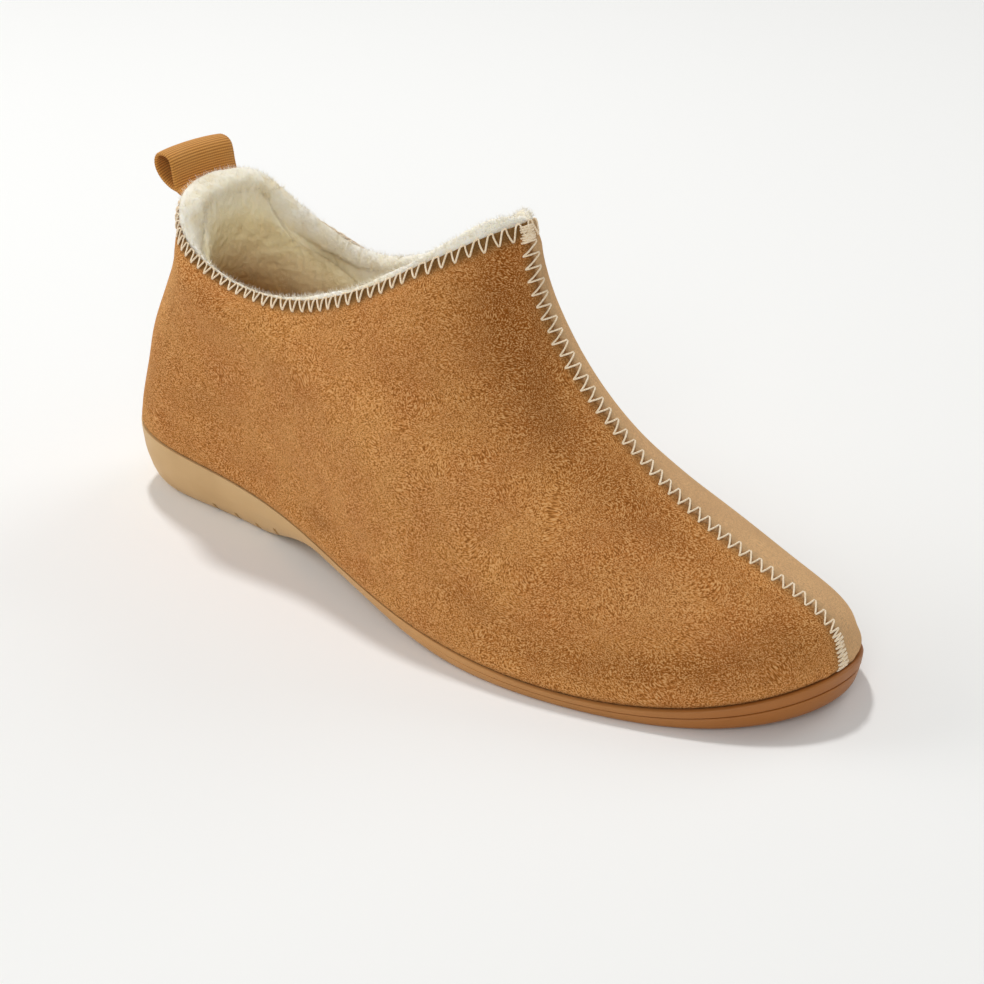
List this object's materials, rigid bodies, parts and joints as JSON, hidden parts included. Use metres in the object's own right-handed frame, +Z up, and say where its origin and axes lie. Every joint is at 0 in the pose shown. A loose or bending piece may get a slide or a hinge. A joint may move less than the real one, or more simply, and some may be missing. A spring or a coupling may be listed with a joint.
{
  "type": "bootie slipper",
  "caption": "Ankle-high bootie slipper for the right foot, with a stitched soft upper, fleece inside, a moulded sole with a low heel wedge, and a ribbon pull loop at the heel.",
  "frame": {"origin": "centre of the sole's outline on the floor", "axes": "+X towards the toe, +Y towards the big-toe side, +Z up"},
  "size_m": [0.2616, 0.0926, 0.1207],
  "materials": {
    "suede": "brushed microsuede with a short nap",
    "rubber": "moulded, satin",
    "fleece": "curly pile fleece",
    "ribbon": "ribbed grosgrain"
  },
  "bodies": {
    "root": {"upper": "suede", "outsole": "rubber", "insole": "fleece", "pull_loop": "ribbon"}
  },
  "joints": []
}
